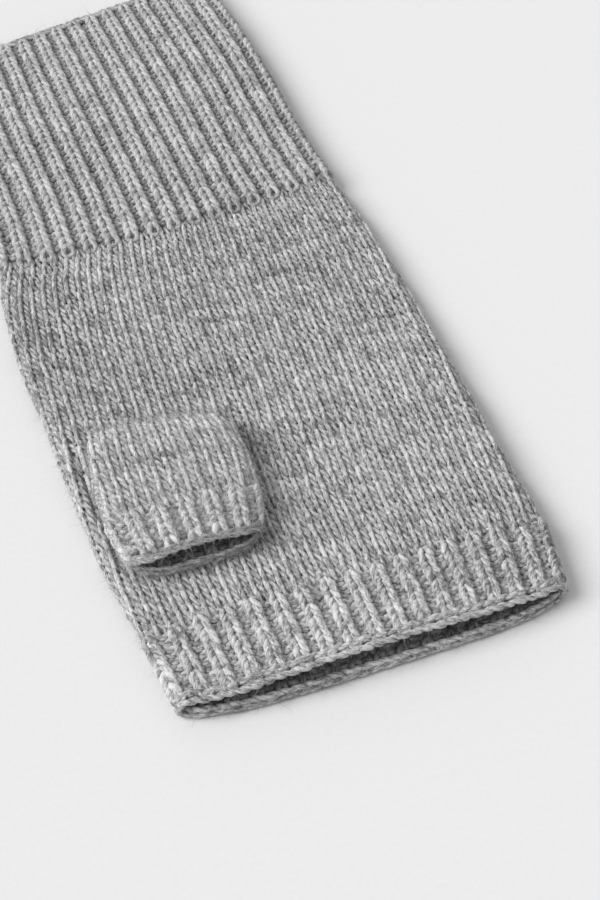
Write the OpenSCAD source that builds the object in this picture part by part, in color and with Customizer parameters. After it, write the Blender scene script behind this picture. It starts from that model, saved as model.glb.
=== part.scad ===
// Fingerless glove, knitted, lying flat with its palm up.
// X runs across the hand, with the thumb on the -X side.
// Y runs from the finger opening (-Y) to the wrist end (+Y), and Z is up.
// The origin is at the middle of the glove, on the surface it lies on.

/* [Hand] */
// Flat width of the plain knitted hand tube
hand_w = 95; // [84:1:104]
// Length of the plain knitted hand tube
hand_len = 119; // [105:1:135]
// Flat width of the ribbed finger end
finger_rib_w = 91; // [84:1:94]
// Length of the ribbed finger end
finger_rib_len = 18; // [12:1:30]

/* [Cuff] */
// Flat width of the ribbed cuff
cuff_w = 87; // [78:1:94]
// Length of the ribbed cuff
cuff_len = 90; // [60:1:110]

/* [Thumb] */
// Flat width of the thumb tube
thumb_w = 33; // [30:1:38]
// Flat width of the ribbed thumb end
thumb_rib_w = 31.5; // [28:0.5:36]
// Length of the plain part of the thumb
thumb_len = 27; // [24:1:40]
// Length of the ribbed part of the thumb
thumb_rib_len = 8.4; // [5:0.2:14]
// Sideways place of the thumb's middle
thumb_x = -27; // [-29:0.5:-25]
// Distance from the hand tube's finger end to the thumb's root
thumb_root = 50; // [48:1:60]

/* [Knitting] */
// Thickness of one layer of knitting
wall = 1.8; // [1.5:0.1:2.2]
// Thickness of one layer of the thumb's knitting
thumb_wall = 1.6; // [1.4:0.1:1.8]
// Open height between the two layers
gap = 4.2; // [4.1:0.1:6]
// Distance between two ribs
rib_pitch = 5.6; // [4.8:0.1:6.4]
// Depth of the furrow between two ribs
furrow_deep = 0.35; // [0.1:0.05:0.6]
// Length of a knitted edge course
edge_len = 2; // [1.5:0.1:3]

/* [Hidden] */
$fn = 48;

// Heights of the flattened tubes
tube_h = gap + 2 * wall;
thumb_h = gap + 2 * thumb_wall;
mid_z = tube_h / 2;
palm_z = tube_h;
lie_gap = 0.5;
thumb_mid_z = palm_z + lie_gap + thumb_h / 2;

// Places along the glove
total_len = finger_rib_len + hand_len + cuff_len + 3 * edge_len;
finger_edge_y = -total_len / 2;
finger_rib_y = finger_edge_y + edge_len;
hand_y = finger_rib_y + finger_rib_len;
wrist_y = hand_y + hand_len;
cuff_y = wrist_y + edge_len;
cuff_edge_y = cuff_y + cuff_len;
root_y = hand_y + thumb_root;
thumb_rib_y = root_y - thumb_len;
thumb_edge_y = thumb_rib_y - thumb_rib_len;

// Slit in the palm under the thumb's root, with the picked-up loops round it
slit_w = 29.5;
slit_h = 4.4;
join_band = 2;
join_w = slit_w + 2 * join_band;
join_h = slit_h + 2 * join_band;
join_y = root_y + join_h / 2 + 0.1;

// Furrows, seams and woven-in tails
furrow_r = 1.4;
seam_t = 1.2;
seam_bite = 0.2;
tail_r = 0.5;
tail_bite = 0.1;
tail_len = 14;
knit_grey = "silver";
join_grey = "darkgray";
yarn_grey = "lightgray";

// Outline of a flattened tube: straight layers and round folds
module stadium(w, h) {
    square([w - h, h], center = true);
    for (side = [-1, 1])
        translate([side * (w - h) / 2, 0])
            circle(d = h);
}

// Furrows between the ribs, on both faces of a ribbed tube
module furrows(w, h) {
    pairs = floor((w - h) / 2 / rib_pitch);
    for (i = [-pairs : pairs], side = [-1, 1])
        translate([i * rib_pitch, side * (h / 2 + furrow_r - furrow_deep)])
            circle(r = furrow_r);
}

// Runs a cross-section along Y from y0
module along_y(y0, len, z) {
    translate([0, y0 + len, z])
        rotate([90, 0, 0])
            linear_extrude(len)
                children();
}

module plain_ring(w, h, t) {
    difference() {
        stadium(w, h);
        stadium(w - 2 * t, h - 2 * t);
    }
}

module rib_ring(w, h, t) {
    difference() {
        plain_ring(w, h, t);
        furrows(w, h);
    }
}

// A seam bar inside the +X fold of a tube, biting a little into the fold
module seam_bar(x_fold, t, y0, len, z) {
    translate([x_fold - t - seam_t + seam_bite, y0, z - seam_t / 2])
        cube([seam_t, len, seam_t]);
}

// A yarn tail lying against the inner face of a seam bar
module tail_rod(x_fold, t, y0, len, z) {
    translate([x_fold - t - seam_t + seam_bite - tail_r + tail_bite, y0 + len, z])
        rotate([90, 0, 0])
            cylinder(r = tail_r, h = len);
}

module hand_tube() {
    color(knit_grey)
        difference() {
            along_y(hand_y, hand_len, mid_z)
                plain_ring(hand_w, tube_h, wall);
            translate([thumb_x, join_y, mid_z])
                linear_extrude(tube_h)
                    stadium(join_w, join_h);
        }
}

// Course where the plain knitting draws in to the cuff's width
module wrist_join_course() {
    color(join_grey)
        translate([0, wrist_y, mid_z])
            mirror([0, 0, 1])
                rotate([-90, 0, 0])
                    linear_extrude(edge_len, scale = [cuff_w / hand_w, 1], slices = 1)
                        plain_ring(hand_w, tube_h, wall);
}

// Ring of picked-up loops round the slit, level with the palm
module thumb_join() {
    color(join_grey)
        translate([thumb_x, join_y, palm_z - wall])
            linear_extrude(wall)
                difference() {
                    stadium(join_w, join_h);
                    stadium(slit_w, slit_h);
                }
}

module hand_side_seam() {
    color(join_grey)
        seam_bar(hand_w / 2, wall, hand_y, hand_len, mid_z);
}

module wrist_cuff() {
    color(knit_grey)
        along_y(cuff_y, cuff_len, mid_z)
            rib_ring(cuff_w, tube_h, wall);
}

module cuff_cast_on_edge() {
    color(join_grey)
        along_y(cuff_edge_y, edge_len, mid_z)
            plain_ring(cuff_w, tube_h, wall);
}

module cuff_side_seam() {
    color(join_grey)
        seam_bar(cuff_w / 2, wall, cuff_y, cuff_len, mid_z);
}

module cuff_tail() {
    color(yarn_grey)
        tail_rod(cuff_w / 2, wall, cuff_edge_y - tail_len, tail_len, mid_z);
}

module finger_rib() {
    color(knit_grey)
        along_y(finger_rib_y, finger_rib_len, mid_z)
            rib_ring(finger_rib_w, tube_h, wall);
}

module finger_cast_off_edge() {
    color(join_grey)
        along_y(finger_edge_y, edge_len, mid_z)
            plain_ring(finger_rib_w, tube_h, wall);
}

module finger_rib_side_seam() {
    color(join_grey)
        seam_bar(finger_rib_w / 2, wall, finger_rib_y, finger_rib_len, mid_z);
}

module finger_tail() {
    color(yarn_grey)
        tail_rod(finger_rib_w / 2, wall, finger_rib_y, tail_len, mid_z);
}

module thumb_tube() {
    color(knit_grey)
        translate([thumb_x, 0, 0])
            along_y(thumb_rib_y, thumb_len, thumb_mid_z)
                plain_ring(thumb_w, thumb_h, thumb_wall);
}

module thumb_rib() {
    color(knit_grey)
        translate([thumb_x, 0, 0])
            along_y(thumb_edge_y, thumb_rib_len, thumb_mid_z)
                rib_ring(thumb_rib_w, thumb_h, thumb_wall);
}

module thumb_cast_off_edge() {
    color(join_grey)
        translate([thumb_x, 0, 0])
            along_y(thumb_edge_y - edge_len, edge_len, thumb_mid_z)
                plain_ring(thumb_rib_w, thumb_h, thumb_wall);
}

// This seam runs straight, so the narrower ribbed end covers it deeper in its fold
module thumb_side_seam() {
    seam_len = thumb_rib_len + thumb_len;
    color(join_grey)
        translate([thumb_x, 0, 0])
            seam_bar(thumb_w / 2, thumb_wall, thumb_edge_y, seam_len, thumb_mid_z);
}

module thumb_root_tail() {
    color(yarn_grey)
        translate([thumb_x, 0, 0])
            tail_rod(thumb_w / 2, thumb_wall, root_y - tail_len, tail_len, thumb_mid_z);
}

module thumb_tip_tail() {
    color(yarn_grey)
        translate([thumb_x, 0, 0])
            tail_rod(thumb_w / 2, thumb_wall, thumb_edge_y, tail_len / 2, thumb_mid_z);
}

hand_tube();
wrist_join_course();
thumb_join();
hand_side_seam();
wrist_cuff();
cuff_cast_on_edge();
cuff_side_seam();
cuff_tail();
finger_rib();
finger_cast_off_edge();
finger_rib_side_seam();
finger_tail();
thumb_tube();
thumb_rib();
thumb_cast_off_edge();
thumb_side_seam();
thumb_root_tail();
thumb_tip_tail();
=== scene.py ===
"""A knitted fingerless glove lying flat, palm up, made loop by loop round its CAD frame.

Lengths are in millimetres until a mesh is written, and MM turns them into metres.
Every piece of knitting is rows of yarn loops laid on a smooth surface, which is a flattened tube.
"""

import math

import bpy
import numpy as np
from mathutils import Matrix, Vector


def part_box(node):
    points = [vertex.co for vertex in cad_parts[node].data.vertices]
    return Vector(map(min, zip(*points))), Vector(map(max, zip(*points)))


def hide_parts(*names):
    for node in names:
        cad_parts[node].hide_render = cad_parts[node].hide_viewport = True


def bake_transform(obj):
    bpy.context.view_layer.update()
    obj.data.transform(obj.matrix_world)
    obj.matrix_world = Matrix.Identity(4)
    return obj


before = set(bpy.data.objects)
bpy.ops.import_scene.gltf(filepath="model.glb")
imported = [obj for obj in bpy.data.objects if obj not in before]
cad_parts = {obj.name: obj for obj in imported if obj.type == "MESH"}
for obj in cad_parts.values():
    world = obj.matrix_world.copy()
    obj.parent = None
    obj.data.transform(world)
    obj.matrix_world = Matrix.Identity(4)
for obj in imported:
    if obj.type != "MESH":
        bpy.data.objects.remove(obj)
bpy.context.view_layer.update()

MM = 0.001
TURN = 2 * math.pi
rng = np.random.default_rng(11)


def span(node):
    """A CAD node's lowest and highest corners, in millimetres."""
    low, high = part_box(node)
    return np.array(low) / MM, np.array(high) / MM


# ---------------------------------------------------------------- places, from the frame

hand_low, hand_high = span("hand_tube")
cuff_low, cuff_high = span("wrist_cuff")
thumb_low, thumb_high = span("thumb_tube")
FINGER_EDGE_Y = span("finger_cast_off_edge")[0][1]
HAND_Y = hand_low[1]
WRIST_Y = cuff_low[1]
CUFF_EDGE_Y = span("cuff_cast_on_edge")[1][1]
MID_Y = (HAND_Y + WRIST_Y) / 2
HAND_HALF = hand_high[0]
FINGER_HALF = span("finger_rib")[1][0]
CUFF_HALF = cuff_high[0]
THUMB_X = (thumb_low[0] + thumb_high[0]) / 2
THUMB_HALF = thumb_high[0] - THUMB_X
THUMB_ROOT_Y = thumb_high[1]

# ---------------------------------------------------------------- the knitting

WALES = 66              # columns of loops round the hand
THUMB_WALES = 24        # columns of loops round the thumb
YARN_R = 0.57           # radius of the yarn
LOOP_DEPTH = 0.42       # how far a loop's legs stand out, and its head and feet lie back
LEG_RISE = 0.2          # how far a loop's left leg is raised and its right one sunk
LOOP_WAIST = 0.185      # how far a loop's sides bow, in columns
LOOP_REACH = 0.98       # half a loop's height, in courses
LOOP_TILT = 0.19        # how far a loop's head leans to its right, in columns
RIB_TILT = 0.04         # the same in ribbing
PURL_REACH = 0.6        # height of the heads of ribbing's sunk loops, as a share of the other heads'
RIB_WAIST = 0.25        # how far the loops' sides bow in ribbing
RIB_YARN = 1.25         # how much fuller the yarn is in ribbing
LEAN = 0.089            # how far the columns lean to one side along the glove
STEPS = 14              # points along one loop
SIDES = 6               # sides of the yarn
YARN_FLAT = 0.92        # its thickness as a share of its width
YARN_TWIST = 0.55       # radians of twist for each millimetre of yarn
RIB_RISE = 0.5          # how far ribbing's columns stand out or sink
CUFF_RIB = 1.25         # how much stronger the cuff's ribbing is
RIB_SPREAD = 0.24       # how far the raised columns spread over the sunk ones
FABRIC_HALF = 0.95      # from the middle of the fabric to its outer face

# How uneven the loops are, as standard deviations
UNEVEN_TALL = 0.06      # of their height
UNEVEN_PLACE = 0.05     # of their place, in columns and courses
UNEVEN_LIE = 0.06       # of how far they stand out
UNEVEN_YARN = 0.08      # of the yarn's width
UNEVEN_SLOW = 0.6       # of the slow change of tone along a row
UNEVEN_ROW = 0.25       # of the tone from row to row
SLOW_LOOPS = 6          # loops in one slow change

# Tones, painted light and painted shade
DARKER = 1.7            # how much darker the colour is made beside the wrist, on the hand's -X side
RIDGE_PAINTED_LIGHT = 1.8       # how much painted light lightens the wool along the ridge over the thumb's root
RIDGE_WIDE = 3.5
SEEN_INSIDE = 11.0      # how far in from the finger opening the lower layer's inner face is seen
SEEN_LIGHT = 1.3        # how much less painted shade its yarn gets there
FURROW_SHADE = 0.12     # how much more painted shade ribbing's sunk yarn gets than its depth gives

FINGER_RIB_ROWS = 10
HAND_ROWS = 62
CUFF_ROWS = 40
THUMB_ROWS = 22
THUMB_FIRST = 0.3       # where the thumb's first row lies
THUMB_STEP = 0.965      # and how far its rows lie apart, in courses
THUMB_RIB_ROWS = 6

# How the glove lies: place along it, left side, right side, back layer's height, palm layer's height
OUTLINE = np.array([
    (FINGER_EDGE_Y, 1.9 - FINGER_HALF, FINGER_HALF - 2.2, 1.65, 5.55),
    (HAND_Y, 0.4 - FINGER_HALF, FINGER_HALF + 0.9, 1.45, 6.05),
    (HAND_Y + 18, 0.4 - HAND_HALF, HAND_HALF - 0.7, 1.15, 6.15),
    (MID_Y, -HAND_HALF - 0.5, HAND_HALF + 0.2, 1.15, 6.25),
    (WRIST_Y - 24, -HAND_HALF - 0.3, HAND_HALF + 0.1, 1.15, 6.25),
    (WRIST_Y - 10, -HAND_HALF + 1.1, HAND_HALF - 0.9, 1.15, 6.15),
    (WRIST_Y, -CUFF_HALF - 0.8, CUFF_HALF + 2.3, 1.5, 6.15),
    (WRIST_Y + 10, -CUFF_HALF, CUFF_HALF + 1.5, 1.85, 6.4),
    (WRIST_Y + 56, -CUFF_HALF - 0.1, CUFF_HALF + 1.7, 1.85, 6.5),
    (CUFF_EDGE_Y, -CUFF_HALF + 0.9, CUFF_HALF - 0.6, 1.75, 5.9),
])


def ease(t):
    """A smooth step from 0 to 1."""
    t = np.clip(t, 0, 1)
    return t * t * (3 - 2 * t)


def profile(y, column):
    """The outline's value at y, on a smooth curve through the stations."""
    stations, values = OUTLINE[:, 0], OUTLINE[:, column]
    slopes = np.gradient(values, stations)
    y = np.clip(y, stations[0], stations[-1])
    i = np.clip(np.searchsorted(stations, y) - 1, 0, len(stations) - 2)
    gap = stations[i + 1] - stations[i]
    t = (y - stations[i]) / gap
    bend = t * (1 - t) * gap * ((1 - t) * slopes[i] - t * slopes[i + 1])
    return values[i] + (values[i + 1] - values[i]) * ease(t) + bend


def flat_ring(length, half, height):
    """A flattened ring: x, z, the outward normal's x and z, and how much the point is on top.

    length is measured round the ring from the middle of its top, towards +X."""
    r = height / 2
    b = half - r
    total = 4 * b + TURN * r
    s = np.mod(length + total / 2, total) - total / 2
    q = np.abs(s)
    turn = np.clip((q - b) / r, 0, math.pi)
    x = np.sign(s) * (np.minimum(q, b) + r * np.sin(turn) - np.maximum(q - b - math.pi * r, 0))
    return x, r * np.cos(turn), np.sign(s) * np.sin(turn), np.cos(turn), (1 + np.cos(turn)) / 2


def ripple(x, y):
    """Slow waves in a layer that lies loose."""
    return (0.24 * np.sin(x / 13 + y / 31 + 0.6) + 0.20 * np.sin(y / 17 - x / 29 + 2.1)
            + 0.12 * np.sin(x / 7.3 - y / 11.9 + 4.0))


MOUTH_LIFT = 1.5        # how far the palm layer arches over the finger opening
MOUTH_LONG = 24.0       # how far back the arch reaches
MOUTH_X = 8.0           # where the arch is highest
MOUTH_HALF = 38.0       # half its width
LOWER_LIP = 2.0         # how far the back layer sticks out there
MOUTH_CORNER = 2.9      # how far back the finger opening's corners lie
WRIST_DIP = 0.75        # dip in the palm layer in front of the cuff
WRIST_DIP_WIDE = 3.0
SIDE_SINK = 0.9         # how far the palm layer sinks towards its folds
GROOVE = 0.4            # dip beside each fold
GROOVE_IN = 7.0         # its distance from the fold
GROOVE_WIDE = 2.5
FOLD_GROOVES = (3.0, 6.2)   # distances from the left fold of the furrows that the thumb's pull makes
FOLD_GROOVE = 1.9       # how deep they are
FOLD_GROOVE_WIDE = 0.9
FOLD_GROOVE_BACK = 14   # how far past the thumb's root they end
FOLD_GROOVE_FRONT = 8   # how far from the finger rib they end
FOLD_GROOVE_FADE = 20   # the length over which they fade out
DIMPLE = 2.3            # dip at the slit's inner corner
DIMPLE_WIDE = 2.4
CUFF_SLANT = 0.19       # how far the cuff's end is off square
CUFF_SHIFT = 1.7        # how far its middle lies towards the fingers
WRIST_BOW = (0.0023, 0.045, -3.0)   # the wrist line's curve: square, slope and shift
WRIST_BOW_LONG = 36.0   # how far from the wrist the rows still follow it
SLIT_HALF = 17.3        # half the width of the slit for the thumb
SLIT_BACK = 3.6         # how far its wrist-side lip is pushed away
SLIT_FRONT = 2.2        # how far its finger-side lip is pushed away
SLIT_EASE = 9.0         # how far from the slit the rows are still pushed aside
ROOT_RISE = 2.4         # how far the thumb draws up the lip on the wrist's side
ROOT_EASE = 6.0
ON_PALM = 0.9           # a point this much on top belongs to the palm layer


def root_line(x):
    """How far the thumb's root lies from its middle's place, along the glove."""
    across = np.clip(x - THUMB_X, -SLIT_HALF, SLIT_HALF)
    return -0.15 * across - 0.0057 * across ** 2


def pull(x, y, top):
    """How far the rows lie from their place in a square-cut tube, along the glove."""
    cuff = ease((y - WRIST_Y) / (CUFF_EDGE_Y - WRIST_Y))
    wrist = np.exp(-((y - WRIST_Y) / WRIST_BOW_LONG) ** 2) * (1 - cuff)
    square, slope, shift = WRIST_BOW
    fingers = ease((HAND_Y - y) / (HAND_Y - FINGER_EDGE_Y))
    across = np.abs(x / FINGER_HALF)
    corner = MOUTH_CORNER * across ** 6
    lower_lip = LOWER_LIP * (1 - top) * np.clip(1 - across ** 4, 0, 1)
    return (cuff * (CUFF_SLANT * x - CUFF_SHIFT) + wrist * (square * x ** 2 + slope * x + shift)
            + fingers * (corner - lower_lip))


def hand_surface(wale, along):
    """Points and outward normals of the hand's fabric. wale is counted round it, along is y."""
    left, right = profile(along, 1) + FABRIC_HALF, profile(along, 2) - FABRIC_HALF
    back, palm = profile(along, 3), profile(along, 4)
    half, height = (right - left) / 2, palm - back
    total = 4 * (half - height / 2) + math.pi * height
    lean = LEAN * (np.clip(along, HAND_Y, WRIST_Y) - MID_Y)
    x, z, nx, nz, top = flat_ring(wale / WALES * total + lean, half, height)
    lift = -SIDE_SINK * np.abs(x / half) ** 4
    lift = lift - GROOVE * np.exp(-((np.abs(x) - half + GROOVE_IN) / GROOVE_WIDE) ** 2)
    beside = (ease((THUMB_ROOT_Y + FOLD_GROOVE_BACK - along) / FOLD_GROOVE_FADE)
              * ease((along - HAND_Y - FOLD_GROOVE_FRONT) / FOLD_GROOVE_FADE))
    for near in FOLD_GROOVES:
        lift = lift - FOLD_GROOVE * beside * np.exp(-((x + half - near) / FOLD_GROOVE_WIDE) ** 2)
    arch = np.clip(1 - ((x - MOUTH_X) / MOUTH_HALF) ** 2, 0, 1)
    lift = lift + MOUTH_LIFT * arch * ease((FINGER_EDGE_Y + MOUTH_LONG - along) / MOUTH_LONG)
    lift = lift - WRIST_DIP * np.exp(-((along - WRIST_Y + WRIST_DIP_WIDE) / WRIST_DIP_WIDE) ** 2)
    x = x + (left + right) / 2
    lift = lift + ripple(x, along)
    away = along - THUMB_ROOT_Y - root_line(x)
    inside = np.clip(1 - ((x - THUMB_X) / SLIT_HALF) ** 2, 0, 1) ** 0.5 * (top > ON_PALM)
    lift = lift + ROOT_RISE * inside * (away > 0) * np.exp(-np.abs(away) / ROOT_EASE)
    corner = ((x - THUMB_X - SLIT_HALF) ** 2 + (away + 1) ** 2) / DIMPLE_WIDE ** 2
    lift = lift - DIMPLE * np.exp(-corner)
    aside = np.where(away > 0, SLIT_BACK, -SLIT_FRONT) * inside * np.exp(-np.abs(away) / SLIT_EASE)
    z = z + (palm + back) / 2 + top * lift
    return np.stack([x, along + aside + pull(x, along, top), z], -1), np.stack([nx, 0 * nx, nz], -1)


# The thumb bends out of the slit and lies down on the palm
THUMB_GAP = 4.1         # between its two layers
THUMB_LIE = 2.0         # from the palm's layer to the thumb's lower layer
THUMB_BEND = 1.35       # how drawn out the bend over the root is
UPPER_COURSE = 1.97     # row spacing on the thumb's upper layer
LOWER_COURSE = 1.69     # row spacing on its lower layer
THUMB_LEAN = 0.055      # how far the thumb leans to the side as it goes
LIP_CORNER = 4.4        # how far back the thumb opening's corners lie
LIP_CORNER_FROM = 8     # where along the thumb the corners start to draw back
LIP_CORNER_LONG = 34    # and the length over which they do
LIP_LIFT = 0.14         # how far the mouth's upper lip stands up
LIP_DROOP = 0.3         # how far the mouth's corners sink
LIP_FROM = 20           # where along the thumb the lip's shape starts
LIP_LONG = 22           # and the length over which it grows
ROOT_LONG = 40          # how far along the thumb the rows still follow the root's line
THUMB_MIDDLE = 28       # where along the thumb its middle is in its place
THUMB_PIVOT = (0.4, -0.1)       # how far off the slit's lip and the palm the thumb's bend turns
THUMB_RIPPLE = 0.4      # how strong the slow waves are on the thumb
THUMB_CROWN = (0.5, 2.5, -0.3)      # its upper layer's rise, the rise's power and its shift
# How much wider than its CAD tube the thumb is on each side: distance from its root, amount
THUMB_SHAPE = np.array([(0, -1.1), (6, -0.3), (16, 0.7), (28, 0.5), (36, -0.5), (42, -1.7), (48, -2.6)])


def thumb_surface(wale, row):
    """Points and outward normals of the thumb's fabric. row counts its courses from the root."""
    wider = np.interp(row * UPPER_COURSE, THUMB_SHAPE[:, 0], THUMB_SHAPE[:, 1])
    half = THUMB_HALF + wider - FABRIC_HALF / 2
    total = 4 * (half - THUMB_GAP / 2) + math.pi * THUMB_GAP
    x, z, nx, nz, top = flat_ring(wale / THUMB_WALES * total, half, THUMB_GAP)
    outward = np.abs(x / half)
    path = row * (LOWER_COURSE + (UPPER_COURSE - LOWER_COURSE) * top)
    mouth = ease((path - LIP_FROM) / LIP_LONG)
    lip = LIP_LIFT * (1 - outward ** 3) - LIP_DROOP * outward ** 3
    r = THUMB_LIE + (z + THUMB_GAP / 2) * (1 + lip * mouth)
    drawn = 1 + (THUMB_BEND - 1) * top
    rise = math.asin(ROOT_RISE / (THUMB_LIE + THUMB_GAP)) * top
    bend = (math.pi / 2 - rise) * r * drawn
    angle = rise + np.clip(path / bend, 0, 1) * (math.pi / 2 - rise)
    run = np.maximum(path - bend, 0)
    pivot_y = THUMB_ROOT_Y - THUMB_LIE - SLIT_FRONT + THUMB_PIVOT[0]
    pivot_z = profile(pivot_y, 4) + THUMB_PIVOT[1]
    shift = root_line(THUMB_X + x) * (1 - ease(path / ROOT_LONG))
    corner = LIP_CORNER * ease((path - LIP_CORNER_FROM) / LIP_CORNER_LONG) * outward ** 5
    y = pivot_y + r * np.cos(angle) * drawn - run + shift + corner
    crown_rise, power, crown_shift = THUMB_CROWN
    crown = crown_rise * (1 - outward ** power) + crown_shift
    lift = np.sin(angle) * top * (crown + THUMB_RIPPLE * ripple(x + 9, y * 1.7))
    middle = THUMB_X + THUMB_LEAN * (THUMB_MIDDLE - path)
    points = np.stack([middle + x, y, pivot_z + r * np.sin(angle) + lift], -1)
    normals = np.stack([nx, nz * np.cos(angle), nz * np.sin(angle)], -1)
    return points, normals


# ---------------------------------------------------------------- yarn

def unit(v):
    """Vectors of length one."""
    return v / np.maximum(np.linalg.norm(v, axis=-1, keepdims=True), 1e-9)


def smooth_noise(count, around, size, every=1):
    """One random value for each few loops, eased along the row that it is in."""
    knots = count // every
    values = rng.normal(0, size, knots)
    where = np.arange(count * around) / (around * every)
    return np.interp(where, np.arange(knots + 1), np.append(values, values[0]))


def spread(u, rib):
    """Ribbing's raised columns, the even ones, spread out over the sunk ones between them."""
    return u + rib * RIB_SPREAD * np.sin(math.pi * u) / math.pi


def patches(x, y):
    """Slow changes in the wool's tone; the colour made darker beside the wrist; and painted light along the
    ridge over the thumb's root.
    """
    away = y - THUMB_ROOT_Y - root_line(x)
    ridge = np.exp(-(away / RIDGE_WIDE) ** 2 - ((x - THUMB_X) / SLIT_HALF) ** 6)
    # Painted light along the ridge over the thumb's root is added to the tone here
    slow = (RIDGE_PAINTED_LIGHT * ridge + 0.4 * np.sin(x / 19 - y / 27 + 4.6)
            + 0.35 * np.sin(x / 11 + y / 16 + 2.6))
    return slow - DARKER * np.exp(-((x + HAND_HALF) / 17) ** 2 - ((y - WRIST_Y + 20) / 30) ** 2)


def loop_row(surface, wales, along, course, rib, heads):
    """The middle line of one closed row of loops, with normals, widths, tones and depths for painted shade.

    along is the row's place, course the row spacing there, heads is the way that the loops point."""
    t = np.tile(np.arange(STEPS) / STEPS * TURN - math.pi, wales)
    wale = np.repeat(np.arange(wales), STEPS)
    tall = LOOP_REACH * (1 + smooth_noise(wales, STEPS, UNEVEN_TALL))
    lean = LOOP_TILT + (RIB_TILT - LOOP_TILT) * min(rib, 1)
    waist = LOOP_WAIST + (RIB_WAIST - LOOP_WAIST) * min(rib, 1)
    u = wale + t / TURN + waist * np.sin(2 * t) + lean * np.cos(t)
    u = spread(u, rib) + smooth_noise(wales, STEPS, UNEVEN_PLACE)
    purl = (rib > 0) & (wale % 2 == 1) & (np.cos(t) > 0)
    rise = tall * np.cos(t) * np.where(purl, PURL_REACH, 1)
    v = along + heads * course * (rise + smooth_noise(wales, STEPS, UNEVEN_PLACE))
    plain = -LOOP_DEPTH * np.cos(2 * t) - LEG_RISE * (1 - min(rib, 1)) * np.sin(t)
    side = np.where(wale % 2 == 0, 1, -1)
    ribbed = side * (1 - (np.abs(t) / math.pi) ** 6) * (RIB_RISE * rib + plain)
    n = plain + (ribbed - plain) * min(rib, 1)
    points, normals = surface(u, v)
    lie = n + smooth_noise(wales, STEPS, UNEVEN_LIE)
    points = points + lie[:, None] * normals
    width = YARN_R * (1 + smooth_noise(wales, STEPS, UNEVEN_YARN)) * (RIB_YARN if rib else 1)
    tone = np.repeat(rng.normal(0, 1, wales), STEPS)
    tone = tone + smooth_noise(wales, STEPS, UNEVEN_SLOW, SLOW_LOOPS)
    tone = tone + rng.normal(0, UNEVEN_ROW) + patches(points[:, 0], points[:, 1])
    # Where the lower layer's inner face is seen near the finger opening, it gets less painted shade
    seen = (normals[:, 2] < 0) * ease((FINGER_EDGE_Y + SEEN_INSIDE - points[:, 1]) / SEEN_INSIDE)
    # Painted shade: set by how deep the yarn lies, lessened where the lower layer's inner face is seen,
    # deepened in ribbing's sunk columns
    painted_shading = n + SEEN_LIGHT * seen - np.where(wale % 2 == 1, FURROW_SHADE * rib, 0)
    return points, normals, width, tone, painted_shading


def sweep(points, normals, width, closed):
    """Rings of vertices round a middle line, the length along it and the angle round it."""
    if closed:
        tangent = unit(np.roll(points, -1, 0) - np.roll(points, 1, 0))
        step = np.linalg.norm(np.roll(points, -1, 0) - points, axis=1)
        run = np.concatenate([[0], np.cumsum(step)[:-1]])
    else:
        tangent = unit(np.gradient(points, axis=0))
        step = np.linalg.norm(np.diff(points, axis=0), axis=1)
        run = np.concatenate([[0], np.cumsum(step)])
    side = unit(np.cross(tangent, normals))
    up = np.cross(side, tangent)
    angle = np.arange(SIDES) / SIDES * TURN
    ring = (np.cos(angle)[None, :, None] * side[:, None, :]
            + YARN_FLAT * np.sin(angle)[None, :, None] * up[:, None, :])
    verts = points[:, None, :] + width[:, None, None] * ring
    return verts, run, angle


def new_mesh(name, verts, corners, sizes):
    """A smooth mesh from its faces' corners in one long row and each face's number of corners."""
    mesh = bpy.data.meshes.new(name)
    mesh.vertices.add(len(verts))
    mesh.vertices.foreach_set("co", verts.astype(np.float32).ravel())
    mesh.loops.add(len(corners))
    mesh.loops.foreach_set("vertex_index", corners.astype(np.int32))
    starts = np.concatenate([[0], np.cumsum(sizes)[:-1]])
    mesh.polygons.add(len(sizes))
    mesh.polygons.foreach_set("loop_start", starts.astype(np.int32))
    mesh.update(calc_edges=True)
    mesh.polygons.foreach_set("use_smooth", np.ones(len(sizes), bool))
    return mesh


def point_values(mesh, name, kind, field, values):
    """Gives every vertex a value that the material reads."""
    held = mesh.attributes.new(name, kind, "POINT")
    held.data.foreach_set(field, values.astype(np.float32).ravel())


def unwrap(mesh, corner_uv):
    """Writes the mesh's map for baked materials."""
    layer = mesh.uv_layers.new(name="OFBake")
    layer.data.foreach_set("uv", corner_uv.astype(np.float32).ravel())


def placed(name, mesh, material):
    """A new object in the scene with this mesh and material."""
    mesh.materials.append(material)
    obj = bpy.data.objects.new(name, mesh)
    bpy.context.scene.collection.objects.link(obj)
    return obj


SHADE_LOW = -0.9        # yarn this far inside the fabric gets the darkest painted shade
SHADE_HIGH = 1.05       # and this far out it gets no painted shade and keeps its full colour
YARN_LONG = 400         # each strand starts somewhere in this length of the wool's pattern
STRIP_LOW = 0.06        # where in its band of the map a strand's sides start
STRIP_HIGH = 0.94       # and where they end


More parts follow.
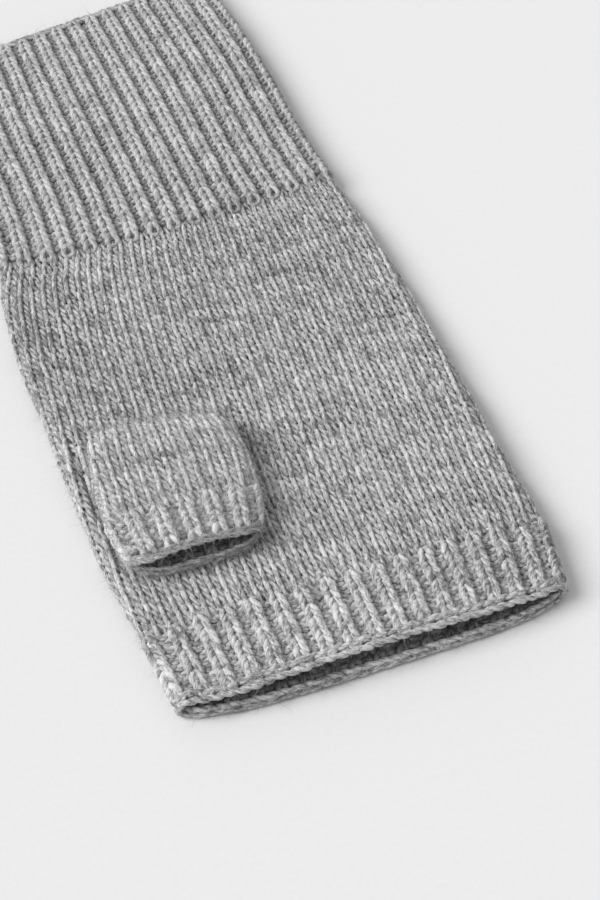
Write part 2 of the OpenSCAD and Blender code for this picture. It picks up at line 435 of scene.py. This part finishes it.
class Yarn:
    """Gathers swept strands and writes them as one mesh with the yarn's own coordinates."""

    def __init__(self):
        self.verts, self.quads, self.ends, self.yarn, self.uv = [], [], [], [], []
        self.tone, self.painted_shade_depth = [], []
        self.count = 0
        self.roots = []

    def strand(self, points, normals, width, tone, painted_shade_depth, closed=True):
        """Adds one strand. A strand that isn't closed gets an end face at each end."""
        verts, run, angle = sweep(points, normals, width, closed)
        n = len(points)
        base = self.count + np.arange(n * SIDES).reshape(n, SIDES)
        nxt = np.roll(base, -1, 0)
        rows = slice(None) if closed else slice(0, n - 1)
        a, b = base[rows], nxt[rows]
        quads = np.stack([a, b, np.roll(b, -1, 1), np.roll(a, -1, 1)], -1).reshape(-1, 4)
        self.quads.append(quads)
        if not closed:
            self.ends += [base[0], base[-1][::-1]]
        twist = angle[None, :] + run[:, None] * YARN_TWIST
        start = rng.uniform(0, YARN_LONG)
        self.yarn.append(np.stack([
            np.broadcast_to(run[:, None] + start, twist.shape),
            YARN_R * np.cos(twist), YARN_R * np.sin(twist)], -1).reshape(-1, 3))
        total = run[-1] + 1e-6
        self.uv.append(np.stack([
            np.broadcast_to(run[:, None] / total, twist.shape),
            np.broadcast_to(angle[None, :] / TURN, twist.shape)], -1).reshape(-1, 2))
        self.verts.append(verts.reshape(-1, 3))
        self.tone.append(np.repeat(tone, SIDES))
        # Painted shade: the yarn is darker where it lies deep in the fabric and on its side that faces in
        outer = (painted_shade_depth[:, None] + width[:, None] * np.sin(angle)[None, :]).reshape(-1)
        self.painted_shade_depth.append(ease((outer - SHADE_LOW) / (SHADE_HIGH - SHADE_LOW)))
        self.count += n * SIDES
        self.roots.append((points, normals, width))

    def piece(self, name, material):
        """One object made of all the strands."""
        strands = len(self.verts)
        verts = np.concatenate(self.verts) * MM
        quads = np.concatenate(self.quads)
        corners = np.concatenate([quads.ravel()] + self.ends)
        sizes = [4] * len(quads) + [SIDES] * len(self.ends)
        mesh = new_mesh(name, verts, corners, sizes)
        point_values(mesh, "yarn", "FLOAT_VECTOR", "vector", np.concatenate(self.yarn))
        point_values(mesh, "tone", "FLOAT", "value", np.concatenate(self.tone))
        point_values(mesh, "painted_shade_depth", "FLOAT", "value", np.concatenate(self.painted_shade_depth))
        # Each strand has its own band of the map, clear of the next
        strip = np.concatenate([np.full(len(v), i) for i, v in enumerate(self.verts)])
        uv = np.concatenate(self.uv)
        across = STRIP_LOW + (STRIP_HIGH - STRIP_LOW) * uv[:, 1]
        flat = np.stack([uv[:, 0], (strip + across) / strands], -1)
        corner_uv = flat[corners]
        # A strand's last side and a closed row's last step would run back across the map
        turned = corner_uv[:len(quads) * 4].reshape(-1, 4, 2)
        wrap = turned[:, 3, 1] < turned[:, 0, 1] - 1e-9
        turned[wrap, 3, 1] = (strip[quads[wrap, 0]] + STRIP_HIGH) / strands
        turned[wrap, 2, 1] = turned[wrap, 3, 1]
        back = turned[:, 1, 0] < turned[:, 0, 0] - 0.5
        turned[back, 1, 0] = 1.0
        turned[back, 2, 0] = 1.0
        unwrap(mesh, corner_uv)
        mesh.validate()
        return placed(name, mesh, material)


LOW_CHAIN = 3.0         # a chain that lies lower than this is narrower
LOW_CHAIN_WIDE = 0.72   # its width as a share of the width above
UNDER_PAINTED_SHADE = 1.6        # how much darker painted shade makes its links on the layer below
LINK_TURN = 2.75        # a link's ends, in radians from the top of its loop
LINK_REACH = 0.86       # half a link's length, in links
LINK_DEPTH = 0.3        # how far its legs stand out, and its head and feet lie back
LINK_FACE = 0.85        # how much an upper edge's chain faces outward from its layer
LOWER_FACE = -0.4       # the same on the layer below
LINK_UNEVEN = 0.05      # standard deviation of its length, place and yarn
LINK_UNEVEN_WIDE = 0.06     # and of its width
AHEAD = 0.3             # a step along the chain, to find which way it runs


def chain(yarn, points, normals, links, half_wide, full):
    """A chain of interlocked loops along a closed line, as on a cast-off edge."""
    spacing = np.linalg.norm(np.roll(points, -1, 0) - points, axis=1)
    run = np.concatenate([[0], np.cumsum(spacing)])
    ring = np.concatenate([points, points[:1]])
    faces = np.concatenate([normals, normals[:1]])
    pitch = run[-1] / links
    t = np.linspace(-LINK_TURN, LINK_TURN, STEPS + 4)
    for link in range(links):
        where = (link + 0.5) * pitch + pitch * LINK_REACH * np.cos(t) * rng.normal(1, LINK_UNEVEN)
        where = np.mod(where, run[-1])
        middle = np.stack([np.interp(where, run, ring[:, k]) for k in range(3)], -1)
        face = unit(np.stack([np.interp(where, run, faces[:, k]) for k in range(3)], -1))
        ahead = np.mod(where + AHEAD, run[-1])
        ahead = np.stack([np.interp(ahead, run, ring[:, k]) for k in range(3)], -1)
        across = unit(np.cross(unit(ahead - middle), face))
        wide = half_wide * (2 * t / TURN + 2 * LOOP_WAIST * np.sin(2 * t)) * rng.normal(1, LINK_UNEVEN_WIDE)
        wide = wide * (1 if middle[:, 2].mean() > LOW_CHAIN else LOW_CHAIN_WIDE)
        lie = LINK_DEPTH * np.cos(2 * t)
        line = middle + wide[:, None] * across - lie[:, None] * face
        line = line + rng.normal(0, LINK_UNEVEN, 3)
        width = np.full(len(t), YARN_R * full * rng.normal(1, LINK_UNEVEN))
        # Painted shade: links on the layer below are darker
        tone = np.full(len(t), rng.normal(0, 1) - (UNDER_PAINTED_SHADE if face[:, 2].mean() < 0 else 0))
        yarn.strand(line, face, width, tone, LINK_DEPTH - lie, closed=False)


EDGE_STEPS = 6          # points of an edge's line for each column


def edge_line(surface, wales, along, tip, lift):
    """A closed line round an edge, and the way that the edge's chain faces."""
    wale = np.arange(wales * EDGE_STEPS) / EDGE_STEPS
    points, normals = surface(wale, np.full(len(wale), along))
    outward = np.where(normals[:, 2:] > 0, LINK_FACE, LOWER_FACE)
    faces = unit(normals * outward + np.array(tip) * (1 - outward))
    return points + lift * np.clip(normals[:, 2:], 0, 1) * faces, faces


# ---------------------------------------------------------------- wool

def shader(name):
    """A new material, its node tree and its principled shader."""
    made = bpy.data.materials.new(name)
    made.use_nodes = True
    tree = made.node_tree
    bsdf = tree.nodes["Principled BSDF"]
    return made, tree, bsdf


def add(tree, kind, **settings):
    """A new node. A setting that is also an input's name sets that input."""
    node = tree.nodes.new(kind)
    for key, value in settings.items():
        if key in node.inputs:
            node.inputs[key].default_value = value
        else:
            setattr(node, key, value)
    return node


def ramp(tree, source, stops):
    """Greys at places along a source from 0 to 1."""
    node = tree.nodes.new("ShaderNodeValToRGB")
    band = node.color_ramp
    while len(band.elements) < len(stops):
        band.elements.new(0.5)
    for element, (place, grey) in zip(band.elements, stops):
        element.position = place
        element.color = (grey, grey, grey, 1)
    tree.links.new(source, node.inputs["Fac"])
    return node.outputs["Color"]


def scaled(tree, vector, x, y, z):
    """A vector's parts times x, y and z."""
    node = add(tree, "ShaderNodeVectorMath", operation="MULTIPLY")
    tree.links.new(vector, node.inputs[0])
    node.inputs[1].default_value = (x, y, z)
    return node.outputs["Vector"]


DEEP_SHADE = 0.32       # how much of its colour the yarn keeps under the deepest painted shade
TUFT_SHARE = 0.45       # how much the tufts add to the fibres' pattern
TONE_SHARE = 0.035      # how much a loop's own tone adds to it
WOOL_STOPS = (0.54, 0.70, 0.88)     # where in the pattern the wool is dark, middling and light


def wool(name, dark, mid, light, sheen):
    """Heather wool: dark and pale fibres streaked along the yarn, with a soft nap, and painted shade where
    the yarn lies deep.
    """
    made, tree, bsdf = shader(name)
    link = tree.links.new
    yarn = add(tree, "ShaderNodeAttribute", attribute_name="yarn").outputs["Vector"]
    tone = add(tree, "ShaderNodeAttribute", attribute_name="tone").outputs["Fac"]
    fibres = add(tree, "ShaderNodeTexNoise", Scale=1.0, Detail=3.0, Roughness=0.6)
    link(scaled(tree, yarn, 0.85, 2.7, 2.7), fibres.inputs["Vector"])
    tufts = add(tree, "ShaderNodeTexNoise", Scale=1.0, Detail=2.0, Roughness=0.55)
    link(scaled(tree, yarn, 0.32, 0.9, 0.9), tufts.inputs["Vector"])
    mixed = add(tree, "ShaderNodeMath", operation="MULTIPLY_ADD")
    link(tufts.outputs["Fac"], mixed.inputs[0])
    mixed.inputs[1].default_value = TUFT_SHARE
    link(fibres.outputs["Fac"], mixed.inputs[2])
    toned = add(tree, "ShaderNodeMath", operation="MULTIPLY_ADD")
    link(tone, toned.inputs[0])
    toned.inputs[1].default_value = TONE_SHARE
    link(mixed.outputs["Value"], toned.inputs[2])
    colour = ramp(tree, toned.outputs["Value"], list(zip(WOOL_STOPS, (dark, mid, light))))
    # Painted shade: the colour is scaled down where the yarn lies deep in the fabric
    painted_shade_depth = add(tree, "ShaderNodeAttribute", attribute_name="painted_shade_depth").outputs["Fac"]
    shade = add(tree, "ShaderNodeMath", operation="MULTIPLY_ADD")
    link(painted_shade_depth, shade.inputs[0])
    shade.inputs[1].default_value = 1 - DEEP_SHADE
    shade.inputs[2].default_value = DEEP_SHADE
    painted_shading = add(tree, "ShaderNodeVectorMath", operation="SCALE")
    link(colour, painted_shading.inputs[0])
    link(shade.outputs["Value"], painted_shading.inputs["Scale"])
    link(painted_shading.outputs["Vector"], bsdf.inputs["Base Color"])
    nap = add(tree, "ShaderNodeTexNoise", Scale=1.0, Detail=2.0)
    link(scaled(tree, yarn, 2.2, 5.5, 5.5), nap.inputs["Vector"])
    bump = add(tree, "ShaderNodeBump", Strength=0.8, Distance=0.00022)
    link(nap.outputs["Fac"], bump.inputs["Height"])
    link(bump.outputs["Normal"], bsdf.inputs["Normal"])
    bsdf.inputs["Roughness"].default_value = 0.95
    bsdf.inputs["Specular IOR Level"].default_value = 0.15
    bsdf.inputs["Sheen Weight"].default_value = sheen
    bsdf.inputs["Sheen Roughness"].default_value = 0.5
    return made


WOOL = wool("heather_wool", 0.16, 0.435, 0.72, 0.12)
CUFF_WOOL = wool("heather_wool_cuff", 0.24, 0.435, 0.65, 0.12)
THUMB_WOOL = wool("heather_wool_thumb", 0.25, 0.54, 0.82, 0.2)
EDGE_WOOL = wool("heather_wool_edge", 0.16, 0.44, 0.73, 0.12)
TAIL_WOOL = wool("heather_wool_tail", 0.12, 0.38, 0.66, 0.12)


def gap_shade_wool(name, dark, mid, light):
    """Dark greys for the layer between the loops, seen only through the small gaps in the knitting: painted
    shade for those gaps.
    """
    made, tree, bsdf = shader(name)
    place = add(tree, "ShaderNodeTexCoord").outputs["Object"]
    specks = add(tree, "ShaderNodeTexNoise", Scale=1.0, Detail=3.0, Roughness=0.7)
    tree.links.new(scaled(tree, place, 1500, 1500, 1500), specks.inputs["Vector"])
    colour = ramp(tree, specks.outputs["Fac"], [(0.35, dark), (0.5, mid), (0.65, light)])
    tree.links.new(colour, bsdf.inputs["Base Color"])
    bsdf.inputs["Roughness"].default_value = 1.0
    bsdf.inputs["Specular IOR Level"].default_value = 0.05
    return made


def hair_wool():
    """Loose fibres, each with its own grey."""
    made, tree, bsdf = shader("loose_fibres")
    tone = add(tree, "ShaderNodeAttribute", attribute_name="tone").outputs["Fac"]
    colour = ramp(tree, tone, [(0.0, 0.16), (0.5, 0.5), (1.0, 0.85)])
    tree.links.new(colour, bsdf.inputs["Base Color"])
    bsdf.inputs["Roughness"].default_value = 0.7
    bsdf.inputs["Specular IOR Level"].default_value = 0.3
    return made


# Painted shade for the gaps between the loops: darker in plain knitting, lighter in ribbing's shallower
# furrows
GAP_SHADE = gap_shade_wool("painted_gap_shade", 0.06, 0.14, 0.3)
RIB_GAP_SHADE = gap_shade_wool("painted_rib_gap_shade", 0.12, 0.26, 0.46)
HAIR = hair_wool()

# ---------------------------------------------------------------- loose fibres

HAIR_SIDES = 3
HAIR_RINGS = 3          # rings of points along a fibre
HAIR_VERTS = HAIR_SIDES * HAIR_RINGS
HAIR_R = 0.034          # radius of its root
HAIR_TIP = 0.25         # the tip's radius as a share of the root's
HAIR_ROOT = 0.7         # how far out in its yarn a fibre starts
HAIR_LEAN = 0.75        # how far a fibre leans away from straight out
HAIR_CURL = 0.45        # how far its tip is bent aside, as a share of its length
HAIR_LENGTHS = (-1.1, 0.45)     # mean and spread of the logarithm of their share of the longest
LONGEST_HAIR = 3.2
HAIR_OUT = 0.02         # a fibre that points out less than this is turned outwards
LOWEST_Z = 0.06         # fibres don't go below this


def fibres(name, yarn, count):
    """Loose fibres that stand out of a piece's yarn, each a thin curved closed spike."""
    points = np.concatenate([r[0] for r in yarn.roots])
    normals = np.concatenate([r[1] for r in yarn.roots])
    width = np.concatenate([r[2] for r in yarn.roots])
    picked = rng.integers(0, len(points), count)
    base, out = points[picked], unit(normals[picked])
    swing = rng.normal(0, 1, (count, 3))
    aim = unit(out * rng.uniform(0.1, 1.1, (count, 1)) + HAIR_LEAN * swing)
    facing = (aim * out).sum(1)[:, None]
    aim = np.where(facing < HAIR_OUT, unit(aim - 1.3 * facing * out), aim)
    length = LONGEST_HAIR * np.clip(rng.lognormal(*HAIR_LENGTHS, count), 0.15, 1)
    curl = rng.normal(0, HAIR_CURL, (count, 3))
    share = np.linspace(0, 1, HAIR_RINGS)
    reach = share[None, :, None] * length[:, None, None]
    line = (base + HAIR_ROOT * width[picked][:, None] * out)[:, None, :] + aim[:, None, :] * reach
    line = line + curl[:, None, :] * (share ** 2)[None, :, None] * length[:, None, None]
    line[..., 2] = np.maximum(line[..., 2], LOWEST_Z)
    tangent = unit(np.gradient(line, axis=1))
    side = unit(np.cross(tangent, unit(np.array([0.31, 0.47, 0.83]))))
    up = np.cross(side, tangent)
    angle = np.arange(HAIR_SIDES) / HAIR_SIDES * TURN
    taper = HAIR_R * (1 - (1 - HAIR_TIP) * share)
    ring = (np.cos(angle)[None, None, :, None] * side[:, :, None, :]
            + np.sin(angle)[None, None, :, None] * up[:, :, None, :])
    verts = (line[:, :, None, :] + taper[None, :, None, None] * ring) * MM
    index = np.arange(count * HAIR_VERTS).reshape(count, HAIR_RINGS, HAIR_SIDES)
    a, b = index[:, :-1], index[:, 1:]
    quads = np.stack([a, b, np.roll(b, -1, 2), np.roll(a, -1, 2)], -1).reshape(-1, 4)
    caps = np.concatenate([index[:, 0], index[:, -1, ::-1]])
    corners = np.concatenate([quads.ravel(), caps.ravel()])
    mesh = new_mesh(name, verts.reshape(-1, 3), corners, [4] * len(quads) + [HAIR_SIDES] * len(caps))
    shade = np.repeat(rng.uniform(0, 1, count), HAIR_VERTS)
    point_values(mesh, "tone", "FLOAT", "value", shade)
    # Each fibre has its own cell of the map
    across = max(1, int(math.sqrt(count)))
    hair = corners // HAIR_VERTS
    around = corners % HAIR_SIDES / HAIR_SIDES
    along = corners // HAIR_SIDES % HAIR_RINGS / HAIR_RINGS
    rows = math.ceil(count / across)
    uv = np.stack([(hair % across + 0.15 + 0.7 * around) / across,
                   (hair // across + 0.15 + 0.7 * along) / rows], -1)
    unwrap(mesh, uv)
    return placed(name, mesh, HAIR)


# ---------------------------------------------------------------- joints, which here only bake each piece's placing


def bend_knuckles(obj):
    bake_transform(obj)


def bend_wrist(obj):
    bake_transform(obj)


def bend_thumb(obj):
    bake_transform(obj)


# ---------------------------------------------------------------- pieces

def rows_between(start, end, count):
    """Middles of count rows from start to end."""
    return start + (np.arange(count) + 0.5) * (end - start) / count


def band(name, places, course, rib, node, slot, bend, hairs):
    """Part of the hand's tube: closed rows of loops, all pointing to the fingers."""
    yarn = Yarn()
    for along in places:
        yarn.strand(*loop_row(hand_surface, WALES, along, course, rib, -1))
    return finish_piece(name, yarn, CUFF_WOOL if rib > 1 else WOOL, node, bend, hairs)


def finish_piece(name, yarn, material, node, bend, hairs):
    """Writes a piece in its material and its nap, hides the CAD nodes that it replaces and runs bend on
    both.
    """
    obj = yarn.piece(name, material)
    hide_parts(*node)
    made = [obj]
    if hairs:
        made.append(fibres(name + "_nap", yarn, hairs))
    for piece in made:
        bend(piece)
    return made


WEB_DEEP = 0.25         # how far the gap-filling layer lies inside the middle of the fabric
WEB_FILL = 0.22         # how far it fills the furrows of ribbing
WEB_STEPS = 4           # its faces for each column
SLIT_OPEN = 0.6         # a face this long, as a share of the slit's opening, would close the slit


def web(name, surface, wales, places, bend, rib=0, slit=False):
    """The thin layer in the middle of a fabric, which fills the gaps between its loops with dark greys that
    are painted shade.

    rib is the ribbing's strength, and slit leaves out the faces that would close the thumb's slit."""
    steps = wales * WEB_STEPS
    wale = np.arange(steps) / WEB_STEPS
    grid = []
    for place in places:
        points, normals = surface(spread(wale, rib), np.full(steps, float(place)))
        sunk = 1 - np.cos(math.pi * wale)
        lie = rib * (RIB_RISE * (1 - sunk) + WEB_FILL * sunk) - WEB_DEEP
        grid.append(points + lie[:, None] * normals)
    grid = np.array(grid)
    rows = len(places)
    index = np.arange(rows * steps).reshape(rows, steps)
    a, b = index[:-1], index[1:]
    quads = np.stack([a, np.roll(a, -1, 1), np.roll(b, -1, 1), b], -1).reshape(-1, 4)
    verts = grid.reshape(-1, 3)
    if slit:
        step = np.ptp(verts[quads][:, :, 1], axis=1)
        quads = quads[step < SLIT_OPEN * (SLIT_BACK + SLIT_FRONT)]
    mesh = new_mesh(name, verts * MM, quads.ravel(), [4] * len(quads))
    corner = quads[:, :1] % steps / steps, quads[:, :1] // steps / rows
    unwrap(mesh, np.stack([corner[0] + np.array([0, 1, 1, 0]) / steps,
                           corner[1] + np.array([0, 0, 1, 1]) / rows], -1))
    # Its colour is painted shade for the gaps between the loops
    obj = placed(name, mesh, RIB_GAP_SHADE if rib else GAP_SHADE)
    bend(obj)
    return obj


RIB_END_Y = FINGER_EDGE_Y + 2.0
CUFF_END_Y = CUFF_EDGE_Y - 1.0
HEEL_ROWS = 21          # rows of the hand nearest the wrist
PALM_ROWS = 42          # rows from the wrist to the part that bends with the knuckles
CUFF_SPLIT = 20         # rows in the cuff's far half
RIB_COURSE = (HAND_Y - RIB_END_Y) / FINGER_RIB_ROWS
HAND_COURSE = (WRIST_Y - HAND_Y) / HAND_ROWS
CUFF_COURSE = (CUFF_END_Y - WRIST_Y) / CUFF_ROWS

rib_rows = rows_between(HAND_Y, RIB_END_Y, FINGER_RIB_ROWS)
hand_rows = rows_between(WRIST_Y, HAND_Y, HAND_ROWS)
cuff_rows = rows_between(CUFF_END_Y, WRIST_Y, CUFF_ROWS)

finger_rib = band("finger_rib_knit", rib_rows, RIB_COURSE, 1,
                  ["finger_rib"], "rib_knit", bend_knuckles, 4200)
knuckle = band("knuckle_knit", hand_rows[PALM_ROWS:], HAND_COURSE, 0,
               ["hand_tube"], "plain_knit", bend_knuckles, 9500)
palm = band("palm_knit", hand_rows[HEEL_ROWS:PALM_ROWS], HAND_COURSE, 0,
            ["hand_tube"], "plain_knit", bend_wrist, 9500)
heel = band("palm_heel_knit", hand_rows[:HEEL_ROWS], HAND_COURSE, 0,
            ["hand_tube", "wrist_join_course"], "plain_knit", bend_wrist, 7500)
cuff_near = band("cuff_knit_near", cuff_rows[CUFF_SPLIT:], CUFF_COURSE, CUFF_RIB,
                 ["wrist_cuff"], "rib_knit", bend_wrist, 4000)
cuff_far = band("cuff_knit_far", cuff_rows[:CUFF_SPLIT], CUFF_COURSE, CUFF_RIB,
                ["wrist_cuff"], "rib_knit", bend_wrist, 4000)


def thumb_pieces():
    """The picked-up loops round the slit, the plain thumb and its ribbed end."""
    made = []
    first_rib = THUMB_ROWS - THUMB_RIB_ROWS
    parts = [("thumb_join_round", [0.0], 0, ["thumb_join"], "edge_knit", 1500),
             ("thumb_knit", range(1, first_rib), 0, ["thumb_tube"], "plain_knit", 12000),
             ("thumb_rib_knit", range(first_rib, THUMB_ROWS), 1, ["thumb_rib"], "rib_knit", 6500)]
    for name, rows, rib, node, slot, hairs in parts:
        yarn = Yarn()
        for row in rows:
            place = THUMB_FIRST + THUMB_STEP * row
            yarn.strand(*loop_row(thumb_surface, THUMB_WALES, place, THUMB_STEP, rib, 1))
        made += finish_piece(name, yarn, THUMB_WOOL, node, bend_thumb, hairs)
    return made


thumb = thumb_pieces()


def edge_chain(name, surface, wales, along, tip, node, bend, hairs, wide, full, lift):
    """A cast-off or cast-on edge: a chain of one link for each column.

    wide is half a link's width, full how full its yarn is, lift how far an upper edge's chain stands up."""
    yarn = Yarn()
    points, faces = edge_line(surface, wales, along, tip, lift)
    chain(yarn, points, faces, wales, wide, full)
    return finish_piece(name, yarn, EDGE_WOOL, [node], bend, hairs)


finger_edge = edge_chain("finger_edge_chain", hand_surface, WALES, FINGER_EDGE_Y + 1.3, (0, -1, 0),
                         "finger_cast_off_edge", bend_knuckles, 2400, 1.75, 1.14, 0.45)
cuff_edge = edge_chain("cuff_edge_chain", hand_surface, WALES, CUFF_EDGE_Y - 0.9, (0, 1, 0),
                       "cuff_cast_on_edge", bend_wrist, 900, 1.2, 1.1, 0.3)
thumb_edge = edge_chain("thumb_edge_chain", thumb_surface, THUMB_WALES, THUMB_ROWS - 0.5, (0, -1, 0),
                        "thumb_cast_off_edge", bend_thumb, 3000, 0.95, 0.9, 0.25)


SEAM_YARN = 0.42        # radius of the sewing yarn
SEAM_IN = 0.25          # how far inside the fabric the seam runs
SEAM_R = 0.3            # radius of the twist of its strands
SEAM_TURN = 1.1         # radians that its strands twist for each step


def seam(name, surface, wale, places, node, bend):
    """Two strands of yarn twisted together along the inside of a fold."""
    yarn = Yarn()
    points, normals = surface(np.full(len(places), float(wale)), places)
    inner = points - (FABRIC_HALF + SEAM_IN) * normals
    for start in (0, math.pi):
        turn = np.arange(len(places)) * SEAM_TURN + start
        across = unit(np.cross(np.gradient(points, axis=0), normals))
        line = inner + SEAM_R * (np.cos(turn)[:, None] * across + np.sin(turn)[:, None] * normals)
        tone = np.zeros(len(places))
        yarn.strand(line, normals, np.full(len(places), SEAM_YARN), tone, tone, closed=False)
    return finish_piece(name, yarn, TAIL_WOOL, [node], bend, 0)


TAIL_YARN = 0.45        # radius of a yarn tail
TAIL_IN = 0.75          # how far inside the fabric it lies
TAIL_WAVE = 0.25        # how far it waves in and out
TAIL_WAVE_TURN = 0.9    # radians of the wave for each step
TAIL_TONE = 0.4


def tail(name, surface, wale, places, node, bend):
    """A woven-in end of yarn lying beside the seam."""
    yarn = Yarn()
    points, normals = surface(np.full(len(places), float(wale)), places)
    wave = TAIL_WAVE * np.sin(np.arange(len(places)) * TAIL_WAVE_TURN)
    line = points - (FABRIC_HALF + TAIL_IN + wave)[:, None] * normals
    width = np.full(len(places), TAIL_YARN)
    tone = np.full(len(places), TAIL_TONE)
    yarn.strand(line, normals, width, tone, np.zeros(len(places)), closed=False)
    return finish_piece(name, yarn, TAIL_WOOL, [node], bend, 0)


RIGHT_FOLD = WALES / 4  # the column at the hand's +X fold
THUMB_FOLD = THUMB_WALES / 4
TAIL_BESIDE = 0.5       # how far beside the seam a tail lies, in columns
THUMB_TAIL_BESIDE = 0.4
SEAM_STEP = 0.7


def fold_places(low, high):
    """Places along a fold, from low to high."""
    return np.linspace(low, high, max(6, int((high - low) / SEAM_STEP)))


# Name, places along the glove, CAD node, bend
SEAMS = [
    ("finger_rib_seam", fold_places(FINGER_EDGE_Y + 2, HAND_Y), "finger_rib_side_seam", bend_knuckles),
    ("knuckle_seam", fold_places(HAND_Y, MID_Y), "hand_side_seam", bend_knuckles),
    ("palm_seam", fold_places(MID_Y, WRIST_Y), "hand_side_seam", bend_wrist),
    ("cuff_seam", fold_places(WRIST_Y, CUFF_EDGE_Y - 2), "cuff_side_seam", bend_wrist),
]
HAND_TAILS = [
    ("finger_yarn_tail", fold_places(FINGER_EDGE_Y + 2, HAND_Y - 2), "finger_tail", bend_knuckles),
    ("cuff_yarn_tail", fold_places(CUFF_EDGE_Y - 16, CUFF_EDGE_Y - 2), "cuff_tail", bend_wrist),
]
# Name, courses from the thumb's root, CAD node
THUMB_TAILS = [
    ("thumb_root_yarn_tail", np.linspace(3, 9, 30), "thumb_root_tail"),
    ("thumb_tip_yarn_tail", np.linspace(17, 21, 20), "thumb_tip_tail"),
]

for name, places, node, bend in SEAMS:
    seam(name, hand_surface, RIGHT_FOLD, places, node, bend)
thumb_places = np.linspace(2, THUMB_ROWS - 1, 60)
seam("thumb_seam", thumb_surface, THUMB_FOLD, thumb_places, "thumb_side_seam", bend_thumb)
for name, places, node, bend in HAND_TAILS:
    tail(name, hand_surface, RIGHT_FOLD + TAIL_BESIDE, places, node, bend)
for name, places, node in THUMB_TAILS:
    tail(name, thumb_surface, THUMB_FOLD + THUMB_TAIL_BESIDE, places, node, bend_thumb)

# ---------------------------------------------------------------- middle layers, whose dark greys are painted shade in the gaps

LAST_KNUCKLE_Y = (hand_rows[PALM_ROWS - 1] + hand_rows[PALM_ROWS]) / 2
web("finger_rib_web", hand_surface, WALES, np.linspace(FINGER_EDGE_Y + 0.4, HAND_Y, 12),
    bend_knuckles, rib=1)
web("knuckle_web", hand_surface, WALES, np.linspace(HAND_Y, LAST_KNUCKLE_Y, 24),
    bend_knuckles)
web("palm_web", hand_surface, WALES, np.linspace(LAST_KNUCKLE_Y, WRIST_Y, 90),
    bend_wrist, slit=True)
web("cuff_web", hand_surface, WALES, np.linspace(WRIST_Y, CUFF_END_Y, 48),
    bend_wrist,
    rib=CUFF_RIB)
web("thumb_web", thumb_surface, THUMB_WALES, np.linspace(0.2, THUMB_ROWS - 0.2, 40),
    bend_thumb)

# ---------------------------------------------------------------- studio

FLOOR_SIZE = 60         # in metres
FLOOR_GREYS = [(0.3, 0.79), (0.7, 0.81)]
KEY_FROM = (-2.5, 0.35, 2.2)    # where the window's light comes from
KEY_POWER = 2.8
KEY_SOFT = 36           # its width in degrees
ROOM_LIGHT = 0.47       # the even light from all round


def floor():
    """A pale, plain, matt floor."""
    made, tree, bsdf = shader("pale_floor")
    place = add(tree, "ShaderNodeTexCoord").outputs["Object"]
    grain = add(tree, "ShaderNodeTexNoise", Scale=900.0, Detail=2.0)
    tree.links.new(place, grain.inputs["Vector"])
    colour = ramp(tree, grain.outputs["Fac"], FLOOR_GREYS)
    tree.links.new(colour, bsdf.inputs["Base Color"])
    bsdf.inputs["Roughness"].default_value = 0.8
    bsdf.inputs["Specular IOR Level"].default_value = 0.2
    bpy.ops.mesh.primitive_plane_add(size=FLOOR_SIZE)
    obj = bpy.context.object
    obj.name = "floor"
    obj.data.materials.append(made)


def window_light():
    """A large soft light from the thumb's side."""
    data = bpy.data.lights.new("window", "SUN")
    data.energy = KEY_POWER
    data.angle = math.radians(KEY_SOFT)
    obj = bpy.data.objects.new("window", data)
    obj.rotation_euler = Vector(KEY_FROM).to_track_quat("Z", "Y").to_euler()
    bpy.context.scene.collection.objects.link(obj)


floor()
window_light()
world = bpy.data.worlds.new("studio")
bpy.context.scene.world = world
world.use_nodes = True
world.node_tree.nodes["Background"].inputs["Color"].default_value = (1, 1, 1, 1)
world.node_tree.nodes["Background"].inputs["Strength"].default_value = ROOM_LIGHT
bpy.context.scene.view_settings.view_transform = "Standard"

# ---------------------------------------------------------------- camera

# In metres and radians
VIEW_TURN = math.radians(-20.7)
VIEW_RISE = math.radians(48.2)
VIEW_AWAY = 0.4096
VIEW_AT = Vector((0.0039, -0.0590, 0.005))
LENS_MM = 72.9
SENSOR_MM = 36
lens = bpy.data.cameras.new("camera")
lens.sensor_width = SENSOR_MM
lens.lens = LENS_MM
lens.clip_start = 0.01
eye = bpy.data.objects.new("camera", lens)
towards = Vector((math.sin(VIEW_TURN) * math.cos(VIEW_RISE),
                  -math.cos(VIEW_TURN) * math.cos(VIEW_RISE),
                  math.sin(VIEW_RISE)))
eye.location = VIEW_AT + VIEW_AWAY * towards
eye.rotation_euler = (-towards).to_track_quat("-Z", "Y").to_euler()
bpy.context.scene.collection.objects.link(eye)
bpy.context.scene.camera = eye
